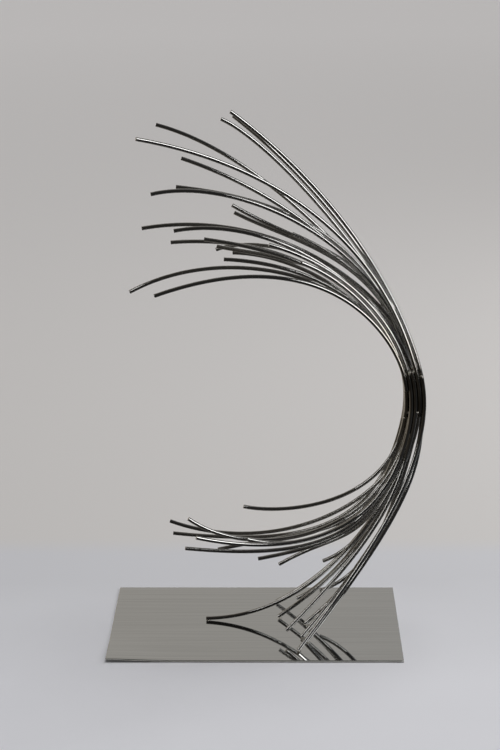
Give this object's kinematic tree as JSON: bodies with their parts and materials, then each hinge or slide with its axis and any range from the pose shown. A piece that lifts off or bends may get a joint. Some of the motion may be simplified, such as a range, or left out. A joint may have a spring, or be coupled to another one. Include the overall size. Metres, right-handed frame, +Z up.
{
  "type": "abstract metal sculpture",
  "caption": "Abstract sculpture of polished steel rods welded into one waist, from which they spray up and down like a curling wave, standing on a thin mirror-polished rectangular plate.",
  "frame": {"origin": "centre of the plate's underside, on the surface that the sculpture stands on", "axes": "+Z up, +X along the plate's long side towards the welded waist, +Y to the back"},
  "size_m": [0.3236, 0.2, 0.5456],
  "materials": {
    "rod_steel": "polished drawn stainless round rod",
    "mirror_steel": "mirror-polished stainless sheet"
  },
  "bodies": {
    "root": {"base_plate": "mirror_steel", "upper_rod_01": "rod_steel", "upper_rod_02": "rod_steel", "upper_rod_03": "rod_steel", "upper_rod_04": "rod_steel", "upper_rod_05": "rod_steel", "upper_rod_06": "rod_steel", "upper_rod_07": "rod_steel", "upper_rod_08": "rod_steel", "upper_rod_09": "rod_steel", "upper_rod_10": "rod_steel", "upper_rod_11": "rod_steel", "upper_rod_12": "rod_steel", "upper_rod_13": "rod_steel", "upper_rod_14": "rod_steel", "upper_rod_15": "rod_steel", "upper_rod_16": "rod_steel", "upper_rod_17": "rod_steel", "upper_rod_18": "rod_steel", "upper_rod_19": "rod_steel", "upper_rod_20": "rod_steel", "upper_rod_21": "rod_steel", "upper_rod_22": "rod_steel", "upper_rod_23": "rod_steel", "upper_rod_24": "rod_steel", "lower_rod_01": "rod_steel", "lower_rod_02": "rod_steel", "lower_rod_03": "rod_steel", "lower_rod_04": "rod_steel", "lower_rod_05": "rod_steel", "lower_rod_06": "rod_steel", "lower_rod_07": "rod_steel", "lower_rod_08": "rod_steel", "lower_rod_09": "rod_steel", "lower_rod_10": "rod_steel", "lower_rod_11": "rod_steel", "lower_rod_12": "rod_steel", "lower_rod_13": "rod_steel", "lower_rod_14": "rod_steel", "lower_rod_15": "rod_steel", "lower_rod_16": "rod_steel", "lower_rod_17": "rod_steel", "lower_rod_18": "rod_steel", "lower_rod_19": "rod_steel", "lower_rod_20": "rod_steel", "lower_rod_21": "rod_steel"}
  },
  "joints": []
}
